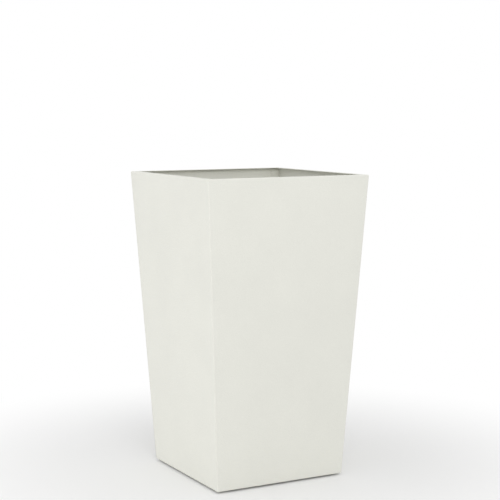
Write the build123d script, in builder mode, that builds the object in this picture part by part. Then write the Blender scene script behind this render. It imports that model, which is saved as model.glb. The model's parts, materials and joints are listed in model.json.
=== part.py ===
from build123d import *
import os
from math import atan, cos, radians, sqrt, tan

# A tall square planter that widens upwards, folded from sheet steel.
# Origin on the floor under the middle, +Z up, front wall facing -Y, millimetres.

# Walls
shell_height = 750.0
top_width = 440.0
base_width = 350.0
sheet = 1.0
bend_radius = 2.5
rim_width = 15.0
base_flange_width = 25.0
return_flange_width = 26.0
mitre_gap = 0.4
corner_relief_radius = 1.0
flange_relief = 1.0
seam_clearance = 0.1

# Base tray
tray_clearance = 1.0
tray_depth = 18.0
tray_corner_radius = 8.0
bead_length = 200.0
bead_width = 22.0
bead_height = 3.0
bead_slope = 45.0
drain_hole_radius = 7.0
drain_circle_radius = 85.0
drain_hole_count = 4

# Feet
foot_projection = 5.0
foot_radius = 15.0
foot_edge_radius = 1.5
foot_inset = 46.0
foot_stem_radius = 4.0
foot_stem_clearance = 0.2
foot_barb_radius = 5.5
foot_barb_height = 4.0
foot_barb_tip_radius = 3.0

# M5 screws, washers and nuts
thread_radius = 2.5
thread_clearance = 0.1
screw_hole_radius = 2.75
screw_length = 10.0
screw_tip_chamfer = 0.5
head_radius = 4.75
head_height = 2.75
head_crown_radius = 2.0
socket_across_flats = 3.0
socket_depth = 1.5
washer_radius = 5.0
washer_thickness = 1.0
nut_across_flats = 8.0
nut_height = 4.0
nut_chamfer = 0.4

# Where the screws sit
base_screw_pitch = 130.0
base_screw_count = 3
base_screw_inset = 12.0
seam_screw_inset = 14.5
seam_end_distance = 60.0
seam_screw_count = 4

# Heights and slopes that follow from the sizes above
base_z = foot_projection
top_z = base_z + shell_height
slope = (top_width - base_width) / 2 / shell_height
lean = atan(slope)
wall_run = sheet / cos(lean)
rear_step = (sheet + seam_clearance) / cos(lean)
nut_corner_radius = nut_across_flats / sqrt(3)
inner_bend_radius = bend_radius - sheet
plate_z = base_z + sheet
plate_top_z = plate_z + sheet
cut_reach = top_width
cut_margin = bend_radius
corner_zone = bend_radius + flange_relief
half_top = top_width / 2
half_base = base_width / 2


def half_width(z):
    """Half the width over the outer faces of the walls at height z."""
    return half_base + slope * (z - base_z)


def tapered_block(inset):
    """The folded box as a solid, drawn in by inset, its rear face behind the rear panel."""
    with BuildPart() as block:
        for z in (base_z + inset, top_z - inset):
            side = half_width(z) - inset / cos(lean)
            rear = side - rear_step
            with BuildSketch(Plane.XY.offset(z)):
                with Locations((0, (rear - side) / 2)):
                    Rectangle(2 * side, side + rear)
        loft()
        fillet(block.edges(), radius=bend_radius - inset)
    return block.part


def flange_zones():
    """The planes and depths of the two level zones that hold the rim and the base flange."""
    depth = corner_zone + cut_margin
    return [(Plane.XY.offset(z), depth) for z in (top_z - corner_zone, base_z - cut_margin)]


def row(count, pitch):
    """Evenly spaced places about zero."""
    return [(i - (count - 1) / 2) * pitch for i in range(count)]


outer_block = tapered_block(0)
inner_block = tapered_block(sheet)

# Screw places under the base, seen on the underside
base_screw_y = half_base - base_screw_inset
base_screw_x = row(base_screw_count, base_screw_pitch)
underside = Plane(origin=(0, 0, base_z), x_dir=(1, 0, 0), z_dir=(0, 0, -1))

# The leaning outer face of the rear wall, with its own Y running up the wall
rear_face = Plane(origin=(0, half_base, base_z), x_dir=(-1, 0, 0), z_dir=(0, cos(lean), -cos(lean) * slope))
seam_heights = [
    seam_end_distance + i * (shell_height - 2 * seam_end_distance) / max(seam_screw_count - 1, 1)
    for i in range(seam_screw_count)
]
seam_spots = [(half_width(base_z + h) - seam_screw_inset, h / cos(lean)) for h in seam_heights]

# Front wall and side walls, folded from one sheet
with BuildPart() as front_shell:
    add(outer_block)
    add(inner_block, mode=Mode.SUBTRACT)
    # open the rear between the two return flanges
    window_base = half_base - return_flange_width
    window_top = half_top - return_flange_width
    with BuildSketch(Plane.XZ):
        Polygon(
            (-window_base, base_z - cut_margin),
            (window_base, base_z - cut_margin),
            (window_base, base_z),
            (window_top, top_z),
            (window_top, top_z + cut_margin),
            (-window_top, top_z + cut_margin),
            (-window_top, top_z),
            (-window_base, base_z),
            align=None,
        )
    extrude(amount=-cut_reach, mode=Mode.SUBTRACT)
    # open the mouth inside the rim, and the underside inside the base flange
    for z, edge in (
        (top_z - bend_radius, half_top - rim_width),
        (base_z - cut_margin, half_base - base_flange_width),
    ):
        with BuildSketch(Plane.XY.offset(z)):
            with Locations((0, -edge)):
                Rectangle(2 * edge, edge + cut_reach, align=(Align.CENTER, Align.MIN))
        extrude(amount=bend_radius + cut_margin, mode=Mode.SUBTRACT)
    # clear the rear corners of rim and base flange for the rear panel's mitres
    for zone, depth in flange_zones():
        with BuildSketch(zone):
            Polygon(
                (0, -mitre_gap / 2),
                (cut_reach, cut_reach - mitre_gap / 2),
                (-cut_reach, cut_reach - mitre_gap / 2),
                align=None,
            )
        extrude(amount=depth, mode=Mode.SUBTRACT)
    # slit both flanges along the two front mitres, with a round relief at the fold
    for z, corner, flange in (
        (top_z - sheet, half_top, rim_width),
        (base_z, half_base, base_flange_width),
    ):
        relief = corner - bend_radius - corner_relief_radius
        slit_length = (relief - (corner - flange)) * sqrt(2) + mitre_gap
        with BuildSketch(Plane.XY.offset(z)):
            for side in (-1, 1):
                with Locations((side * relief, -relief)):
                    Circle(corner_relief_radius)
                with Locations(Location((side * relief, -relief), 90 + side * 45)):
                    Rectangle(slit_length, mitre_gap, align=(Align.MIN, Align.CENTER))
        extrude(amount=sheet, mode=Mode.SUBTRACT)
    # screw holes in the front base flange
    with BuildSketch(Plane.XY.offset(base_z)):
        with Locations(*[(x, -base_screw_y) for x in base_screw_x]):
            Circle(screw_hole_radius)
    extrude(amount=sheet, mode=Mode.SUBTRACT)
    # screw holes in the return flanges
    with BuildSketch(rear_face):
        with Locations(*[(side * x, y) for x, y in seam_spots for side in (-1, 1)]):
            Circle(screw_hole_radius)
    extrude(amount=-(2 * sheet + seam_clearance + inner_bend_radius), mode=Mode.SUBTRACT)
front_shell.part.label = "front_shell"

# Rear wall with its own rim and base flange
with BuildPart() as rear_panel:
    with BuildSketch(Plane.YZ):
        with BuildLine():
            FilletPolyline(
                (half_base - base_flange_width, base_z),
                (half_base, base_z),
                (half_top, top_z),
                (half_top - rim_width, top_z),
                radius=bend_radius,
            )
            offset(amount=sheet, side=Side.LEFT)
        make_face()
    extrude(amount=half_top, both=True)
    # trim the two leaning side edges
    with BuildSketch(Plane.XZ):
        Polygon(
            (-half_base, base_z),
            (half_base, base_z),
            (half_top, top_z),
            (-half_top, top_z),
            align=None,
        )
    extrude(amount=-cut_reach, mode=Mode.INTERSECT)
    # mitre the ends of the rim and of the base flange
    for zone, depth in flange_zones():
        for side in (-1, 1):
            with BuildSketch(zone):
                Polygon(
                    (-side * mitre_gap / 2, 0),
                    (side * cut_reach, 0),
                    (side * cut_reach, cut_reach + mitre_gap / 2),
                    align=None,
                )
            extrude(amount=depth, mode=Mode.SUBTRACT)
    # screw holes in the base flange
    with BuildSketch(Plane.XY.offset(base_z)):
        with Locations(*[(x, base_screw_y) for x in base_screw_x]):
            Circle(screw_hole_radius)
    extrude(amount=sheet, mode=Mode.SUBTRACT)
    # screw holes over the return flanges
    with BuildSketch(rear_face):
        with Locations(*[(side * x, y) for x, y in seam_spots for side in (-1, 1)]):
            Circle(screw_hole_radius)
    extrude(amount=-sheet, mode=Mode.SUBTRACT)
rear_panel.part.label = "rear_panel"

# Base tray, resting on the base flanges
tray_side = half_base - wall_run - tray_clearance
tray_rear = tray_side - rear_step
tray_middle_y = (tray_rear - tray_side) / 2
foot_offset = half_base - foot_inset
foot_spots = {
    "front_left": (-foot_offset, -foot_offset),
    "front_right": (foot_offset, -foot_offset),
    "rear_left": (-foot_offset, foot_offset),
    "rear_right": (foot_offset, foot_offset),
}
with BuildPart() as base_plate:
    with BuildSketch(Plane.XY.offset(plate_z)):
        with Locations((0, tray_middle_y)):
            RectangleRounded(2 * tray_side, tray_side + tray_rear, tray_corner_radius)
    extrude(amount=tray_depth)
    fillet(base_plate.faces().sort_by(Axis.Z)[0].edges(), radius=bend_radius)
    offset(amount=-sheet, openings=base_plate.faces().sort_by(Axis.Z)[-1])
    # two raised beads that cross in the middle
    bead_inner_width = bead_width - 2 * sheet * tan(radians(bead_slope) / 2)
    for z, width, mode in (
        (plate_top_z, bead_width, Mode.ADD),
        (plate_z, bead_inner_width, Mode.SUBTRACT),
    ):
        with BuildSketch(Plane.XY.offset(z)):
            for angle in (45, 135):
                SlotOverall(bead_length + width - bead_width, width, rotation=angle)
        extrude(amount=bead_height, taper=bead_slope, mode=mode)
    # drainage holes
    with BuildSketch(Plane.XY.offset(plate_z)):
        with PolarLocations(drain_circle_radius, drain_hole_count):
            Circle(drain_hole_radius)
    extrude(amount=sheet, mode=Mode.SUBTRACT)
    # holes for the screws and for the stems of the feet
    with BuildSketch(Plane.XY.offset(plate_z)):
        with Locations(*[(x, side * base_screw_y) for x in base_screw_x for side in (-1, 1)]):
            Circle(screw_hole_radius)
        with Locations(*foot_spots.values()):
            Circle(foot_stem_radius + foot_stem_clearance)
    extrude(amount=sheet, mode=Mode.SUBTRACT)
base_plate.part.label = "base_plate"

# One push-in rubber foot: pad under the tray, stem through it, barb above it
with BuildPart() as foot:
    Cylinder(foot_radius, plate_z, align=(Align.CENTER, Align.CENTER, Align.MIN))
    fillet(foot.edges().sort_by(Axis.Z)[0], radius=foot_edge_radius)
    with Locations((0, 0, plate_z)):
        Cylinder(foot_stem_radius, sheet, align=(Align.CENTER, Align.CENTER, Align.MIN))
    with Locations((0, 0, plate_top_z)):
        Cone(
            foot_barb_radius,
            foot_barb_tip_radius,
            foot_barb_height,
            align=(Align.CENTER, Align.CENTER, Align.MIN),
        )

# One button-head screw: head above the plane it sits on, shank below it
with BuildPart() as screw:
    Cylinder(head_radius, head_height, align=(Align.CENTER, Align.CENTER, Align.MIN))
    fillet(screw.edges().sort_by(Axis.Z)[-1], radius=head_crown_radius)
    Cylinder(thread_radius, screw_length, align=(Align.CENTER, Align.CENTER, Align.MAX))
    chamfer(screw.edges().sort_by(Axis.Z)[0], length=screw_tip_chamfer)
    with BuildSketch(Plane.XY.offset(head_height)):
        RegularPolygon(socket_across_flats / 2, 6, major_radius=False)
    extrude(amount=-socket_depth, mode=Mode.SUBTRACT)

# One washer, under the plane it lies against
with BuildPart() as washer:
    Cylinder(washer_radius, washer_thickness, align=(Align.CENTER, Align.CENTER, Align.MAX))
    Cylinder(
        screw_hole_radius,
        washer_thickness,
        align=(Align.CENTER, Align.CENTER, Align.MAX),
        mode=Mode.SUBTRACT,
    )

# One hexagon nut, under the plane it lies against
with BuildPart() as nut:
    Cylinder(nut_corner_radius, nut_height, align=(Align.CENTER, Align.CENTER, Align.MAX))
    chamfer(nut.edges().filter_by(GeomType.CIRCLE), length=nut_chamfer)
    with BuildSketch():
        RegularPolygon(nut_across_flats / 2, 6, major_radius=False)
    extrude(amount=-nut_height, mode=Mode.INTERSECT)
    Cylinder(
        thread_radius + thread_clearance,
        nut_height,
        align=(Align.CENTER, Align.CENTER, Align.MAX),
        mode=Mode.SUBTRACT,
    )

pieces = [front_shell, rear_panel, base_plate]

# The four feet
for corner, spot in foot_spots.items():
    with BuildPart() as placed_foot:
        with Locations(spot):
            add(foot.part)
    placed_foot.part.label = "foot_" + corner
    pieces.append(placed_foot)

# Rows of fasteners: the face the heads sit on, their places on it, and the thickness they clamp
base_stack = 2 * sheet
seam_stack = 2 * sheet + seam_clearance
fastener_rows = {
    "front_base": (underside, [(x, base_screw_y) for x in base_screw_x], base_stack),
    "rear_base": (underside, [(x, -base_screw_y) for x in base_screw_x], base_stack),
    "left_seam": (rear_face, [(x, y) for x, y in seam_spots], seam_stack),
    "right_seam": (rear_face, [(-x, y) for x, y in seam_spots], seam_stack),
}
for place, (face, spots, stack) in fastener_rows.items():
    for kind, depth, item in (
        ("screws", 0, screw),
        ("washers", stack, washer),
        ("nuts", stack + washer_thickness, nut),
    ):
        with BuildPart(face.offset(-depth)) as fasteners:
            with Locations(*spots):
                add(item.part)
        fasteners.part.label = place + "_" + kind
        pieces.append(fasteners)

os.makedirs("parts", exist_ok=True)
for piece in pieces:
    export_step(piece.part, "parts/" + piece.part.label + ".step")
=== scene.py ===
import json
from math import acos, atan, cos, pi, radians, sin, sqrt, tan

import bmesh
import bpy
from mathutils import Matrix, Vector


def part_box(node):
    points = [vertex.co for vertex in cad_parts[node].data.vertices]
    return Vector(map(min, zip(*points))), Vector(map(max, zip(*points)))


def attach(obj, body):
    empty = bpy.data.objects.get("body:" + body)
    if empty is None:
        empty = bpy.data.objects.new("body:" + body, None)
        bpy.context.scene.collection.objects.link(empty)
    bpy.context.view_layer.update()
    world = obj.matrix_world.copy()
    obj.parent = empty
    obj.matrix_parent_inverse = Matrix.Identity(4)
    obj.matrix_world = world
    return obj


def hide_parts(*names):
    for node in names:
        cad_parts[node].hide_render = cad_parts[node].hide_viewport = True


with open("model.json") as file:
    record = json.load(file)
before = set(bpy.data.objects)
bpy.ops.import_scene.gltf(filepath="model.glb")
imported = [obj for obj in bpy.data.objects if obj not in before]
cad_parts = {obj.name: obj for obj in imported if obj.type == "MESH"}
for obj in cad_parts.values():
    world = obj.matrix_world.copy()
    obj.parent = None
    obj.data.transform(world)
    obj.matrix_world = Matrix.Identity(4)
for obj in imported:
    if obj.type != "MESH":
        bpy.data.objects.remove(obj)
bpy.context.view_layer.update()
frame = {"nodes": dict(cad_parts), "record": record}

# Sizes in metres. The heights come from the frame.
MM = 0.001
SHEET = 1.0 * MM
BEND_RADIUS = 2.5 * MM
TOP_WIDTH = 440 * MM
BASE_WIDTH = 350 * MM
RIM_WIDTH = 15 * MM
BASE_FLANGE_WIDTH = 25 * MM
RETURN_FLANGE_WIDTH = 26 * MM
SEAM_CLEARANCE = 0.1 * MM
MITRE_GAP = 0.4 * MM
FLANGE_RELIEF = 1.0 * MM
EDGE_ROUNDING = 0.25 * MM
CORNER_RELIEF_RADIUS = 1.0 * MM

# How the meshes are made
WALL_ROWS = 15
WALL_COLUMNS = 11
FLANGE_COLUMNS = 2
BEND_STEPS = 8
SCREW_DRILL_REACH = 5.0 * MM
RELIEF_DRILL_REACH = 2.0 * MM
TOLERANCE = 0.01 * MM
WELD_DISTANCE = 0.001 * MM
CLEAN_DISTANCE = 0.02 * MM
EDGE_SEGMENTS = 2
EDGE_ANGLE = 40
SHEET_CREASE = 30
TURNED_CREASE = 35

# Feet
FOOT_PROJECTION = 5.0 * MM
FOOT_RADIUS = 15.0 * MM
FOOT_EDGE_RADIUS = 1.5 * MM
FOOT_INSET = 46.0 * MM
FOOT_STEM_RADIUS = 4.0 * MM
FOOT_BARB_RADIUS = 5.5 * MM
FOOT_BARB_TIP_RADIUS = 3.0 * MM
FOOT_BARB_HEIGHT = 4.0 * MM
FOOT_GROOVES = 3
FOOT_GROOVE_PITCH = 3.2 * MM
FOOT_GROOVE_WIDTH = 1.4 * MM
FOOT_GROOVE_DEPTH = 0.6 * MM

# M5 screws, washers and nuts
THREAD_RADIUS = 2.5 * MM
THREAD_PITCH = 0.8 * MM
THREAD_DEPTH = 0.45 * MM
THREAD_STEPS = 6
THREAD_CLEARANCE = 0.1 * MM
SCREW_HOLE_RADIUS = 2.75 * MM
SCREW_LENGTH = 10.0 * MM
SCREW_TIP_CHAMFER = 0.5 * MM
SCREW_PLAIN_LENGTH = 6.0 * MM
HEAD_RADIUS = 4.75 * MM
HEAD_HEIGHT = 2.75 * MM
HEAD_CROWN_RADIUS = 2.0 * MM
SOCKET_ACROSS_FLATS = 3.0 * MM
SOCKET_DEPTH = 1.5 * MM
SOCKET_CHAMFER = 0.2 * MM
WASHER_RADIUS = 5.0 * MM
WASHER_THICKNESS = 1.0 * MM
NUT_ACROSS_FLATS = 8.0 * MM
NUT_HEIGHT = 4.0 * MM
NUT_CHAMFER = 0.4 * MM
SMALL_ROUNDING = 0.2 * MM
ROUND_STEPS = 4
TURNED_SEGMENTS = 48
SCREW_TURN = 2.4

# Where the screws sit
BASE_SCREW_PITCH = 130 * MM
BASE_SCREW_INSET = 12 * MM
SEAM_SCREW_INSET = 14.5 * MM
SEAM_END_DISTANCE = 60 * MM
SEAM_SCREW_COUNT = 4

# Camera, found from the corners of the walls in an image of 500 by 500
AZIMUTH = -0.50199
ELEVATION = 0.10983
DISTANCE = 3.29584
AIM_X = 0.00889
AIM_HEIGHT = 0.55541
LENS_PIXELS = 1306.61
IMAGE_PIXELS = 500
SENSOR_WIDTH = 36.0
VIEW_DEPTH = 100.0

# Floor and light
FLOOR_RADIUS = 6.0
FLOOR_SEGMENTS = 96
FLOOR_GREY = 0.90
FLOOR_ROUGHNESS = 0.9
FLOOR_GLOSS = 0.1
SHADOW_REACH = 0.35
WHITE_FROM = 1.1
AMBIENT = 0.79

# Powder coat, with patches of tone, painted shade in the pits of the peel and a slower swell under
# them
COAT_DARK = (0.811, 0.811, 0.748, 1)
COAT_LIGHT = (0.827, 0.827, 0.762, 1)
COAT_PIT_SHADE = (0.95, 0.95, 0.95, 1)
COAT_ROUGHNESS = (0.42, 0.55)
COAT_GLOSS = 0.4
SWELL_HEIGHT = 0.30 * MM
PEEL_HEIGHT = 0.20 * MM

# Zinc plate
ZINC_DARK = (0.56, 0.57, 0.58, 1)
ZINC_LIGHT = (0.66, 0.67, 0.67, 1)
ZINC_ROUGHNESS = (0.28, 0.42)
ZINC_GRAIN_HEIGHT = 0.006 * MM

# Rubber
RUBBER_DARK = (0.022, 0.022, 0.022, 1)
RUBBER_LIGHT = (0.036, 0.036, 0.035, 1)
RUBBER_ROUGHNESS = (0.68, 0.85)
RUBBER_GRAIN_HEIGHT = 0.03 * MM

WHITE = (1, 1, 1, 1)

# Lengths and slopes that follow from the sizes above
BASE_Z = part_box("front_shell")[0][2]
TOP_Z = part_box("front_shell")[1][2]
HALF_BASE = BASE_WIDTH / 2
HALF_TOP = TOP_WIDTH / 2
SLOPE = (HALF_TOP - HALF_BASE) / (TOP_Z - BASE_Z)
LEAN = atan(SLOPE)
REAR_STEP = (SHEET + SEAM_CLEARANCE) / cos(LEAN)
CORNER_ZONE = BEND_RADIUS + FLANGE_RELIEF
MITRE = MITRE_GAP / sqrt(2)


def half_width(z):
    """Half the width over the outer wall faces at height z."""
    return HALF_BASE + SLOPE * (z - BASE_Z)


def fold(corner, before, after):
    """Points of the arc that rounds a corner between two unit directions that leave it."""
    opening = acos(before.dot(after))
    setback = BEND_RADIUS / tan(opening / 2)
    centre = corner + (before + after).normalized() * (BEND_RADIUS / sin(opening / 2))
    start = corner + before * setback - centre
    end = corner + after * setback - centre
    turn = start.angle(end)
    points = []
    for t in between(0, 1, BEND_STEPS):
        start_share = sin((1 - t) * turn) / sin(turn)
        end_share = sin(t * turn) / sin(turn)
        points.append(centre + start * start_share + end * end_share)
    return points


def wall_profile():
    """Distances from the middle and heights, from the base flange's edge up to the rim's edge."""
    level = Vector((-1, 0))
    rise = Vector((SLOPE, 1)).normalized()
    base_fold = fold(Vector((HALF_BASE, BASE_Z)), level, rise)
    top_fold = fold(Vector((HALF_TOP, TOP_Z)), -rise, level)
    low, high = BASE_Z + CORNER_ZONE, TOP_Z - CORNER_ZONE
    wall = [Vector((half_width(z), z)) for z in between(low, high, WALL_ROWS)]
    first = Vector((HALF_BASE - BASE_FLANGE_WIDTH, BASE_Z))
    last = Vector((HALF_TOP - RIM_WIDTH, TOP_Z))
    return [first] + base_fold + wall + top_fold + [last]


def corner_radius(reach, z):
    """Radius of the vertical fold where the profile stands at this distance from the middle."""
    return max(BEND_RADIUS - (half_width(z) - reach), 0.0)


def between(start, end, count):
    """Evenly spaced values from start to end, both included."""
    return [start + (end - start) * i / count for i in range(count + 1)]


def add_grid(bm, grid):
    """Quads between neighbouring points of a list of rows."""
    rows = [[bm.verts.new(point) for point in row] for row in grid]
    for lower, upper in zip(rows, rows[1:]):
        for i in range(len(lower) - 1):
            bm.faces.new((lower[i], lower[i + 1], upper[i + 1], upper[i]))


def weld(bm, distance):
    """Joins points nearer than the distance, and drops the faces that this flattens."""
    bmesh.ops.remove_doubles(bm, verts=bm.verts, dist=distance)
    bmesh.ops.dissolve_degenerate(bm, edges=bm.edges, dist=distance)


def add_object(name, bm):
    """Turns a finished bmesh into an object in the scene."""
    mesh = bpy.data.meshes.new(name)
    bm.to_mesh(mesh)
    bm.free()
    piece = bpy.data.objects.new(name, mesh)
    bpy.context.scene.collection.objects.link(piece)
    return piece


def folded_piece(name, bm, outside):
    """Gives a folded surface its thickness, on the side away from outside, and rounds its edges."""
    weld(bm, WELD_DISTANCE)
    bmesh.ops.recalc_face_normals(bm, faces=bm.faces)
    bm.normal_update()
    largest = max(bm.faces, key=lambda face: face.calc_area() * abs(face.normal.dot(outside)))
    if largest.normal.dot(outside) < 0:
        bmesh.ops.reverse_faces(bm, faces=bm.faces)
    piece = add_object(name, bm)
    thicken = piece.modifiers.new("sheet", "SOLIDIFY")
    thicken.thickness = SHEET
    thicken.offset = -1
    thicken.use_even_offset = True
    rounding = piece.modifiers.new("edges", "BEVEL")
    rounding.width = EDGE_ROUNDING
    rounding.segments = EDGE_SEGMENTS
    rounding.limit_method = "ANGLE"
    rounding.angle_limit = radians(EDGE_ANGLE)
    apply_modifiers(piece)
    return piece


def apply_modifiers(piece):
    """Makes the result of the piece's modifiers its mesh."""
    depsgraph = bpy.context.evaluated_depsgraph_get()
    mesh = bpy.data.meshes.new_from_object(piece.evaluated_get(depsgraph))
    piece.modifiers.clear()
    piece.data = mesh


def drill(piece, places, radius, depth):
    """Cuts round holes. places are (centre, direction) pairs."""
    bm = bmesh.new()
    for centre, direction in places:
        turned(bm, [(radius, -depth), (radius, depth)], placing(centre, direction))
    bmesh.ops.recalc_face_normals(bm, faces=bm.faces)
    cutter = add_object("drill", bm)
    cut = piece.modifiers.new("holes", "BOOLEAN")
    cut.operation = "DIFFERENCE"
    cut.solver = "EXACT"
    cut.object = cutter
    apply_modifiers(piece)
    bpy.data.objects.remove(cutter)
    bm = bmesh.new()
    bm.from_mesh(piece.data)
    weld(bm, CLEAN_DISTANCE)
    bm.to_mesh(piece.data)
    bm.free()


def placing(origin, direction, turn=0.0):
    """Moves a shape drawn about +Z to an origin, with +Z along the direction."""
    lie = direction.to_track_quat("Z", "Y").to_matrix().to_4x4()
    return Matrix.Translation(origin) @ lie @ Matrix.Rotation(turn, 4, "Z")


def turned(bm, rings, place, closed=False):
    """Skins rings of (radius, height) about the local Z axis. A radius may depend on the angle."""
    loops = []
    for radius, height in rings:
        loop = []
        for i in range(TURNED_SEGMENTS):
            angle = 2 * pi * i / TURNED_SEGMENTS
            reach = radius(angle) if callable(radius) else radius
            point = Vector((reach * cos(angle), reach * sin(angle), height))
            loop.append(bm.verts.new(place @ point))
        loops.append(loop)
    if closed:
        loops.append(loops[0])
    else:
        bm.faces.new(loops[0])
        bm.faces.new(loops[-1])
    for lower, upper in zip(loops, loops[1:]):
        for i in range(TURNED_SEGMENTS):
            j = (i + 1) % TURNED_SEGMENTS
            bm.faces.new((lower[i], lower[j], upper[j], upper[i]))


def arc(centre_radius, centre_height, radius, start, end):
    """Rings along an arc in the profile of a turned shape, angles in degrees from straight out."""
    angles = [radians(angle) for angle in between(start, end, ROUND_STEPS)]
    return [(centre_radius + radius * cos(a), centre_height + radius * sin(a)) for a in angles]


def hexagon(across_flats, limit=None):
    """Radius over the angle of a hexagon, cut off where it passes the limit."""
    def radius(angle):
        reach = across_flats / 2 / cos((angle + pi / 6) % (pi / 3) - pi / 6)
        return reach if limit is None else min(reach, limit)
    return radius


def thread(height):
    """Radius over the angle of the thread at this height, tapered at its tip."""
    tip = THREAD_RADIUS - SCREW_TIP_CHAMFER + height + SCREW_LENGTH

    def radius(angle):
        phase = (height / THREAD_PITCH + angle / (2 * pi)) % 1
        return min(THREAD_RADIUS - THREAD_DEPTH * abs(2 * phase - 1), tip)
    return radius


def screw_rings():
    """Threaded tip, plain shank, domed head and hexagon socket, with the head above height zero."""
    threaded = SCREW_LENGTH - SCREW_PLAIN_LENGTH
    count = round(threaded / THREAD_PITCH * THREAD_STEPS)
    heights = between(-SCREW_LENGTH, -SCREW_PLAIN_LENGTH, count)
    rings = [(thread(height), height) for height in heights]
    rings += [(THREAD_RADIUS, SMALL_ROUNDING - SCREW_PLAIN_LENGTH), (THREAD_RADIUS, 0.0)]
    rings += arc(HEAD_RADIUS - SMALL_ROUNDING, SMALL_ROUNDING, SMALL_ROUNDING, -90, 0)
    crown = HEAD_RADIUS - HEAD_CROWN_RADIUS
    rings += arc(crown, HEAD_HEIGHT - HEAD_CROWN_RADIUS, HEAD_CROWN_RADIUS, 0, 90)
    socket = hexagon(SOCKET_ACROSS_FLATS)
    rings.append((SOCKET_ACROSS_FLATS / sqrt(3) + SOCKET_CHAMFER, HEAD_HEIGHT))
    rings.append((socket, HEAD_HEIGHT - SOCKET_CHAMFER))
    rings.append((socket, HEAD_HEIGHT - SOCKET_DEPTH))
    return rings


def washer_rings():
    """A flat ring with rounded edges, its upper face at height zero."""
    inner, outer = SCREW_HOLE_RADIUS + SMALL_ROUNDING, WASHER_RADIUS - SMALL_ROUNDING
    upper, lower = -SMALL_ROUNDING, SMALL_ROUNDING - WASHER_THICKNESS
    rings = arc(inner, lower, SMALL_ROUNDING, 270, 180)
    rings += arc(inner, upper, SMALL_ROUNDING, 180, 90)
    rings += arc(outer, upper, SMALL_ROUNDING, 90, 0)
    rings += arc(outer, lower, SMALL_ROUNDING, 0, -90)
    return rings


def nut_rings():
    """A hexagon nut with chamfered corners and bore, its upper face at height zero."""
    corner = NUT_ACROSS_FLATS / sqrt(3)
    bore = THREAD_RADIUS + THREAD_CLEARANCE
    depths = between(0, NUT_CHAMFER, ROUND_STEPS)
    upper = [(hexagon(NUT_ACROSS_FLATS, corner - NUT_CHAMFER + d), -d) for d in depths]
    lower = [(hexagon(NUT_ACROSS_FLATS, corner - NUT_CHAMFER + d), d - NUT_HEIGHT) for d in depths]
    inside = [(bore + NUT_CHAMFER, -NUT_HEIGHT), (bore, NUT_CHAMFER - NUT_HEIGHT)]
    inside += [(bore, -NUT_CHAMFER), (bore + NUT_CHAMFER, 0.0)]
    return upper + lower[::-1] + inside


def foot_rings():
    """Pad with grooves moulded in its sole, stem and barb, from the floor up."""
    rings = []
    for i in range(FOOT_GROOVES):
        start = FOOT_STEM_RADIUS + i * FOOT_GROOVE_PITCH
        end = start + FOOT_GROOVE_WIDTH
        rings += [(start, 0.0), (start + SMALL_ROUNDING, FOOT_GROOVE_DEPTH)]
        rings += [(end - SMALL_ROUNDING, FOOT_GROOVE_DEPTH), (end, 0.0)]
    rings += arc(FOOT_RADIUS - FOOT_EDGE_RADIUS, FOOT_EDGE_RADIUS, FOOT_EDGE_RADIUS, -90, 0)
    pad_top = FOOT_PROJECTION + SHEET
    rings += arc(FOOT_RADIUS - SMALL_ROUNDING, pad_top - SMALL_ROUNDING, SMALL_ROUNDING, 0, 90)
    barb = pad_top + SHEET
    rings += [(FOOT_STEM_RADIUS, pad_top), (FOOT_STEM_RADIUS, barb)]
    rings += arc(FOOT_BARB_RADIUS - SMALL_ROUNDING, barb + SMALL_ROUNDING, SMALL_ROUNDING, -90, 0)
    tip = barb + FOOT_BARB_HEIGHT - SMALL_ROUNDING
    return rings + arc(FOOT_BARB_TIP_RADIUS - SMALL_ROUNDING, tip, SMALL_ROUNDING, 0, 90)


def turned_piece(name, rings, places, closed=False):
    """One object holding the same turned shape at every place."""
    bm = bmesh.new()
    for place in places:
        turned(bm, rings, place, closed)
    bmesh.ops.recalc_face_normals(bm, faces=bm.faces)
    return add_object(name, bm)


DOWN = Vector((0, 0, -1))
REAR = Vector((0, cos(LEAN), -sin(LEAN)))


def base_spots(side):
    """Under the base flange at the front (-1) or at the rear (1)."""
    y = side * (HALF_BASE - BASE_SCREW_INSET)
    return [(Vector((x, y, BASE_Z)), DOWN) for x in (-BASE_SCREW_PITCH, 0, BASE_SCREW_PITCH)]


def seam_spots(side):
    """On the rear wall's outer face, along its left (-1) or right (1) edge."""
    first, last = BASE_Z + SEAM_END_DISTANCE, TOP_Z - SEAM_END_DISTANCE
    spots = []
    for z in between(first, last, SEAM_SCREW_COUNT - 1):
        reach = half_width(z)
        spots.append((Vector((side * (reach - SEAM_SCREW_INSET), reach, z)), REAR))
    return spots


FRONT_ROW, REAR_ROW = base_spots(-1), base_spots(1)
LEFT_SEAM, RIGHT_SEAM = seam_spots(-1), seam_spots(1)


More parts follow.
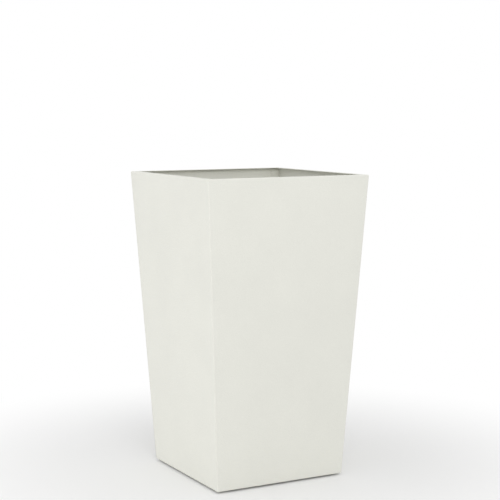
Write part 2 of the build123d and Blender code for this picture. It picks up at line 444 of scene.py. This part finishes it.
def build_front_shell():
    """Front wall and both side walls with their folds, flanges and return flanges."""
    bm = bmesh.new()
    low = BASE_Z + CORNER_ZONE - TOLERANCE
    high = TOP_Z - CORNER_ZONE + TOLERANCE
    quarter = between(0, pi / 2, BEND_STEPS)
    front = []
    corners, sides, ears, returns = [{-1: [], 1: []} for i in range(4)]
    for reach, z in wall_profile():
        radius = corner_radius(reach, z)
        flat = reach - radius
        at_edge = reach < half_width(z) - BEND_RADIUS - TOLERANCE
        inset = MITRE if at_edge else 0.0
        xs = between(-flat + inset, flat - inset, WALL_COLUMNS)
        front.append([Vector((x, -reach, z)) for x in xs])
        rear_line = half_width(z) - REAR_STEP
        tangent = min(rear_line - BEND_RADIUS, reach - MITRE)
        for side in (-1, 1):
            ys = between(-flat + inset, tangent, WALL_COLUMNS)
            sides[side].append([Vector((side * reach, y, z)) for y in ys])
            # Each flange is slit at the front corners, so its inner edge has no fold there
            if not at_edge:
                corners[side].append([
                    Vector((side * (flat + radius * sin(a)), -(flat + radius * cos(a)), z))
                    for a in quarter
                ])
            ears[side].append([Vector((side * reach, y, z)) for y in (tangent, reach - MITRE)])
            if low < z < high and abs(reach - half_width(z)) < TOLERANCE:
                centre = Vector((side * (reach - BEND_RADIUS), rear_line - BEND_RADIUS, z))
                line = [centre + Vector((side * cos(a), sin(a), 0)) * BEND_RADIUS for a in quarter]
                xs = between(reach - BEND_RADIUS, reach - RETURN_FLANGE_WIDTH, FLANGE_COLUMNS)
                line += [Vector((side * x, rear_line, z)) for x in xs[1:]]
                returns[side].append(line)
    add_grid(bm, front)
    for side in (-1, 1):
        add_grid(bm, sides[side])
        add_grid(bm, corners[side])
        add_grid(bm, returns[side])
        # Below and above the return flanges, the side wall reaches back to the rear panel
        add_grid(bm, [row for row in ears[side] if row[0].z < low])
        add_grid(bm, [row for row in ears[side] if row[0].z > high])
    shell = folded_piece("front_shell_sheet", bm, Vector((0, -1, 0)))
    drill(shell, FRONT_ROW + LEFT_SEAM + RIGHT_SEAM, SCREW_HOLE_RADIUS, SCREW_DRILL_REACH)
    reliefs = []
    for corner, z in ((HALF_TOP, TOP_Z), (HALF_BASE, BASE_Z)):
        relief = corner - BEND_RADIUS - CORNER_RELIEF_RADIUS
        reliefs += [(Vector((side * relief, -relief, z)), DOWN) for side in (-1, 1)]
    drill(shell, reliefs, CORNER_RELIEF_RADIUS, RELIEF_DRILL_REACH)
    return shell


def build_rear_panel():
    """Rear wall with its own rim and base flange, mitred at both ends."""
    bm = bmesh.new()
    rows = []
    for reach, z in wall_profile():
        xs = between(MITRE - reach, reach - MITRE, WALL_COLUMNS)
        rows.append([Vector((x, reach, z)) for x in xs])
    add_grid(bm, rows)
    panel = folded_piece("rear_panel_sheet", bm, Vector((0, 1, 0)))
    drill(panel, REAR_ROW + LEFT_SEAM + RIGHT_SEAM, SCREW_HOLE_RADIUS, SCREW_DRILL_REACH)
    return panel


def new_material(name):
    """A node material, with its node tree, its shader and its coordinates."""
    material = bpy.data.materials.new(name)
    material.use_nodes = True
    tree = material.node_tree
    shader = tree.nodes["Principled BSDF"]
    place = tree.nodes.new("ShaderNodeTexCoord").outputs["Object"]
    return material, tree, shader, place


def noise(tree, place, scale, detail):
    """Noise with this many features to the metre."""
    node = tree.nodes.new("ShaderNodeTexNoise")
    node.inputs["Scale"].default_value = scale
    node.inputs["Detail"].default_value = detail
    tree.links.new(place, node.inputs["Vector"])
    return node.outputs["Fac"]


def ramp(tree, source, low, high, start=0.35, end=0.65):
    """A colour between low and high, by the source."""
    node = tree.nodes.new("ShaderNodeValToRGB")
    node.color_ramp.elements[0].position = start
    node.color_ramp.elements[0].color = low
    node.color_ramp.elements[1].position = end
    node.color_ramp.elements[1].color = high
    tree.links.new(source, node.inputs["Fac"])
    return node.outputs["Color"]


def multiply(tree, first, second):
    """One colour times another."""
    node = tree.nodes.new("ShaderNodeMix")
    node.data_type = "RGBA"
    node.blend_type = "MULTIPLY"
    node.inputs["Factor"].default_value = 1.0
    colours = [socket for socket in node.inputs if socket.type == "RGBA"]
    tree.links.new(first, colours[0])
    tree.links.new(second, colours[1])
    return next(socket for socket in node.outputs if socket.type == "RGBA")


def spread(tree, source, low, high, start=0.3, end=0.7):
    """A value between low and high, by the source."""
    node = tree.nodes.new("ShaderNodeMapRange")
    node.inputs["From Min"].default_value = start
    node.inputs["From Max"].default_value = end
    node.inputs["To Min"].default_value = low
    node.inputs["To Max"].default_value = high
    tree.links.new(source, node.inputs["Value"])
    return node.outputs["Result"]


def bump(tree, shader, heights):
    """Stacks bumps. heights are (source, distance in metres) pairs."""
    previous = None
    for source, distance in heights:
        node = tree.nodes.new("ShaderNodeBump")
        node.inputs["Strength"].default_value = 1.0
        node.inputs["Distance"].default_value = distance
        tree.links.new(source, node.inputs["Height"])
        if previous is not None:
            tree.links.new(previous, node.inputs["Normal"])
        previous = node.outputs["Normal"]
    tree.links.new(previous, shader.inputs["Normal"])


def powder_coat():
    """Matt off-white powder coat with a fine orange peel, its pits darkened as painted shade."""
    material, tree, shader, place = new_material("powder_coat")
    cloud = noise(tree, place, scale=9.0, detail=3.0)
    peel = noise(tree, place, scale=800.0, detail=2.0)
    swell = noise(tree, place, scale=240.0, detail=1.0)
    tone = ramp(tree, cloud, COAT_DARK, COAT_LIGHT)
    # Painted shade: the low spots of the peel are painted a touch darker
    pit_shade = ramp(tree, peel, COAT_PIT_SHADE, WHITE)
    tree.links.new(multiply(tree, tone, pit_shade), shader.inputs["Base Color"])
    tree.links.new(spread(tree, peel, *COAT_ROUGHNESS), shader.inputs["Roughness"])
    shader.inputs["Specular IOR Level"].default_value = COAT_GLOSS
    bump(tree, shader, [(swell, SWELL_HEIGHT), (peel, PEEL_HEIGHT)])
    return material


def zinc_plate():
    """Bright zinc on turned steel, slightly cloudy."""
    material, tree, shader, place = new_material("zinc_plate")
    cloud = noise(tree, place, scale=300.0, detail=3.0)
    grain = noise(tree, place, scale=2500.0, detail=2.0)
    tone = ramp(tree, cloud, ZINC_DARK, ZINC_LIGHT)
    tree.links.new(tone, shader.inputs["Base Color"])
    shader.inputs["Metallic"].default_value = 1.0
    tree.links.new(spread(tree, grain, *ZINC_ROUGHNESS), shader.inputs["Roughness"])
    bump(tree, shader, [(grain, ZINC_GRAIN_HEIGHT)])
    return material


def rubber():
    """Moulded black rubber with a fine grain."""
    material, tree, shader, place = new_material("rubber")
    cloud = noise(tree, place, scale=120.0, detail=3.0)
    grain = noise(tree, place, scale=1800.0, detail=2.0)
    tone = ramp(tree, cloud, RUBBER_DARK, RUBBER_LIGHT)
    tree.links.new(tone, shader.inputs["Base Color"])
    tree.links.new(spread(tree, grain, *RUBBER_ROUGHNESS), shader.inputs["Roughness"])
    bump(tree, shader, [(grain, RUBBER_GRAIN_HEIGHT)])
    return material


def paint(piece, material):
    """Gives a piece this material alone."""
    piece.data.materials.clear()
    piece.data.materials.append(material)


def smooth(piece, angle):
    """Smooth shading, with edges sharper than the angle kept crisp."""
    mesh = piece.data
    mesh.polygons.foreach_set("use_smooth", [True] * len(mesh.polygons))
    mesh.set_sharp_from_angle(angle=angle)


def stand_for(piece, node, slot, crease):
    """Shades and paints a piece, and lets it stand for its CAD node."""
    smooth(piece, radians(crease))
    paint(piece, materials[slot])
    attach(piece, "root")
    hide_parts(node)


# Materials by the record's slots
materials = {"powder_coat": powder_coat(), "zinc_plate": zinc_plate(), "rubber": rubber()}
slots = {row["node"]: row["material_slot"] for row in frame["record"]["subparts"]}
for node, piece in frame["nodes"].items():
    paint(piece, materials[slots[node]])

# The two folded sheets, with round folds and rounded edges
stand_for(build_front_shell(), "front_shell", "powder_coat", SHEET_CREASE)
stand_for(build_rear_panel(), "rear_panel", "powder_coat", SHEET_CREASE)

# Screws, washers and nuts, each row turned a little differently from screw to screw
fastener_rows = {
    "front_base": (FRONT_ROW, 2 * SHEET),
    "rear_base": (REAR_ROW, 2 * SHEET),
    "left_seam": (LEFT_SEAM, 2 * SHEET + SEAM_CLEARANCE),
    "right_seam": (RIGHT_SEAM, 2 * SHEET + SEAM_CLEARANCE),
}
for row, (spots, stack) in fastener_rows.items():
    for kind, depth, rings, closed in (
        ("screws", 0.0, screw_rings(), False),
        ("washers", stack, washer_rings(), True),
        ("nuts", stack + WASHER_THICKNESS, nut_rings(), True),
    ):
        node = row + "_" + kind
        places = [
            placing(origin - direction * depth, direction, SCREW_TURN * i)
            for i, (origin, direction) in enumerate(spots)
        ]
        piece = turned_piece(node + "_turned", rings, places, closed)
        stand_for(piece, node, "zinc_plate", TURNED_CREASE)

# Rubber feet, moulded
for end, y in (("front", -1), ("rear", 1)):
    for hand, x in (("left", -1), ("right", 1)):
        node = "foot_" + end + "_" + hand
        offset = HALF_BASE - FOOT_INSET
        place = placing(Vector((x * offset, y * offset, 0.0)), -DOWN)
        piece = turned_piece(node + "_moulded", foot_rings(), [place])
        stand_for(piece, node, "rubber", TURNED_CREASE)


def build_camera():
    """Looks at the planter from its front left."""
    data = bpy.data.cameras.new("camera")
    camera = bpy.data.objects.new("camera", data)
    bpy.context.scene.collection.objects.link(camera)
    level = cos(ELEVATION)
    back = Vector((sin(AZIMUTH) * level, -cos(AZIMUTH) * level, sin(ELEVATION)))
    camera.location = Vector((AIM_X, 0.0, AIM_HEIGHT + BASE_Z)) + back * DISTANCE
    camera.rotation_euler = (pi / 2 - ELEVATION, 0.0, AZIMUTH)
    data.sensor_width = SENSOR_WIDTH
    data.lens = LENS_PIXELS / IMAGE_PIXELS * data.sensor_width
    data.clip_end = VIEW_DEPTH
    bpy.context.scene.camera = camera


def build_floor():
    """A pale floor whose far part fades into the white background for the camera."""
    bm = bmesh.new()
    bmesh.ops.create_circle(bm, cap_ends=True, segments=FLOOR_SEGMENTS, radius=FLOOR_RADIUS)
    floor = add_object("floor", bm)
    material, tree, shader, place = new_material("floor")
    shader.inputs["Base Color"].default_value = (FLOOR_GREY, FLOOR_GREY, FLOOR_GREY, 1)
    shader.inputs["Roughness"].default_value = FLOOR_ROUGHNESS
    shader.inputs["Specular IOR Level"].default_value = FLOOR_GLOSS
    length = tree.nodes.new("ShaderNodeVectorMath")
    length.operation = "LENGTH"
    tree.links.new(place, length.inputs[0])
    fade = tree.nodes.new("ShaderNodeMapRange")
    fade.interpolation_type = "SMOOTHSTEP"
    fade.inputs["From Min"].default_value = SHADOW_REACH
    fade.inputs["From Max"].default_value = WHITE_FROM
    tree.links.new(length.outputs["Value"], fade.inputs["Value"])
    path = tree.nodes.new("ShaderNodeLightPath")
    seen = tree.nodes.new("ShaderNodeMath")
    seen.operation = "MULTIPLY"
    tree.links.new(fade.outputs["Result"], seen.inputs[0])
    tree.links.new(path.outputs["Is Camera Ray"], seen.inputs[1])
    white = tree.nodes.new("ShaderNodeEmission")
    mix = tree.nodes.new("ShaderNodeMixShader")
    tree.links.new(seen.outputs["Value"], mix.inputs["Fac"])
    tree.links.new(shader.outputs["BSDF"], mix.inputs[1])
    tree.links.new(white.outputs["Emission"], mix.inputs[2])
    tree.links.new(mix.outputs["Shader"], tree.nodes["Material Output"].inputs["Surface"])
    floor.data.materials.append(material)


def build_world():
    """Even studio light, seen as white by the camera and in reflections."""
    world = bpy.data.worlds.new("world")
    bpy.context.scene.world = world
    world.use_nodes = True
    tree = world.node_tree
    light = tree.nodes["Background"]
    light.inputs["Color"].default_value = WHITE
    light.inputs["Strength"].default_value = AMBIENT
    white = tree.nodes.new("ShaderNodeBackground")
    white.inputs["Color"].default_value = WHITE
    white.inputs["Strength"].default_value = 1.0
    path = tree.nodes.new("ShaderNodeLightPath")
    seen = tree.nodes.new("ShaderNodeMath")
    seen.operation = "MAXIMUM"
    also = tree.nodes.new("ShaderNodeMath")
    also.operation = "MAXIMUM"
    tree.links.new(path.outputs["Is Camera Ray"], seen.inputs[0])
    tree.links.new(path.outputs["Is Glossy Ray"], seen.inputs[1])
    tree.links.new(seen.outputs["Value"], also.inputs[0])
    tree.links.new(path.outputs["Is Transmission Ray"], also.inputs[1])
    mix = tree.nodes.new("ShaderNodeMixShader")
    tree.links.new(also.outputs["Value"], mix.inputs["Fac"])
    tree.links.new(light.outputs["Background"], mix.inputs[1])
    tree.links.new(white.outputs["Background"], mix.inputs[2])
    tree.links.new(mix.outputs["Shader"], tree.nodes["World Output"].inputs["Surface"])


def area_light(name, place, target, width, height, watts):
    """A soft rectangular lamp that the camera doesn't see."""
    data = bpy.data.lights.new(name, "AREA")
    data.shape = "RECTANGLE"
    data.size = width
    data.size_y = height
    data.energy = watts
    lamp = bpy.data.objects.new(name, data)
    bpy.context.scene.collection.objects.link(lamp)
    lamp.location = place
    lamp.rotation_euler = (Vector(target) - Vector(place)).to_track_quat("-Z", "Y").to_euler()
    lamp.visible_camera = False


build_camera()
build_floor()
build_world()
area_light("overhead", place=(0, 0, 3), target=(0, 0, 0.4), width=2.5, height=2.5, watts=4.0)
area_light("front", place=(-0.9, -3, 2.2), target=(0, 0, 0.6), width=1.8, height=1.8, watts=7.5)
area_light("near", place=(-0.6, -2, 1.9), target=(0, 0, 0.6), width=1.2, height=1.2, watts=7.8)
area_light("low", place=(-2.2, 0.3, 0.5), target=(0, 0, 0.15), width=1.6, height=0.8, watts=6.6)
bpy.context.scene.view_settings.view_transform = "Standard"
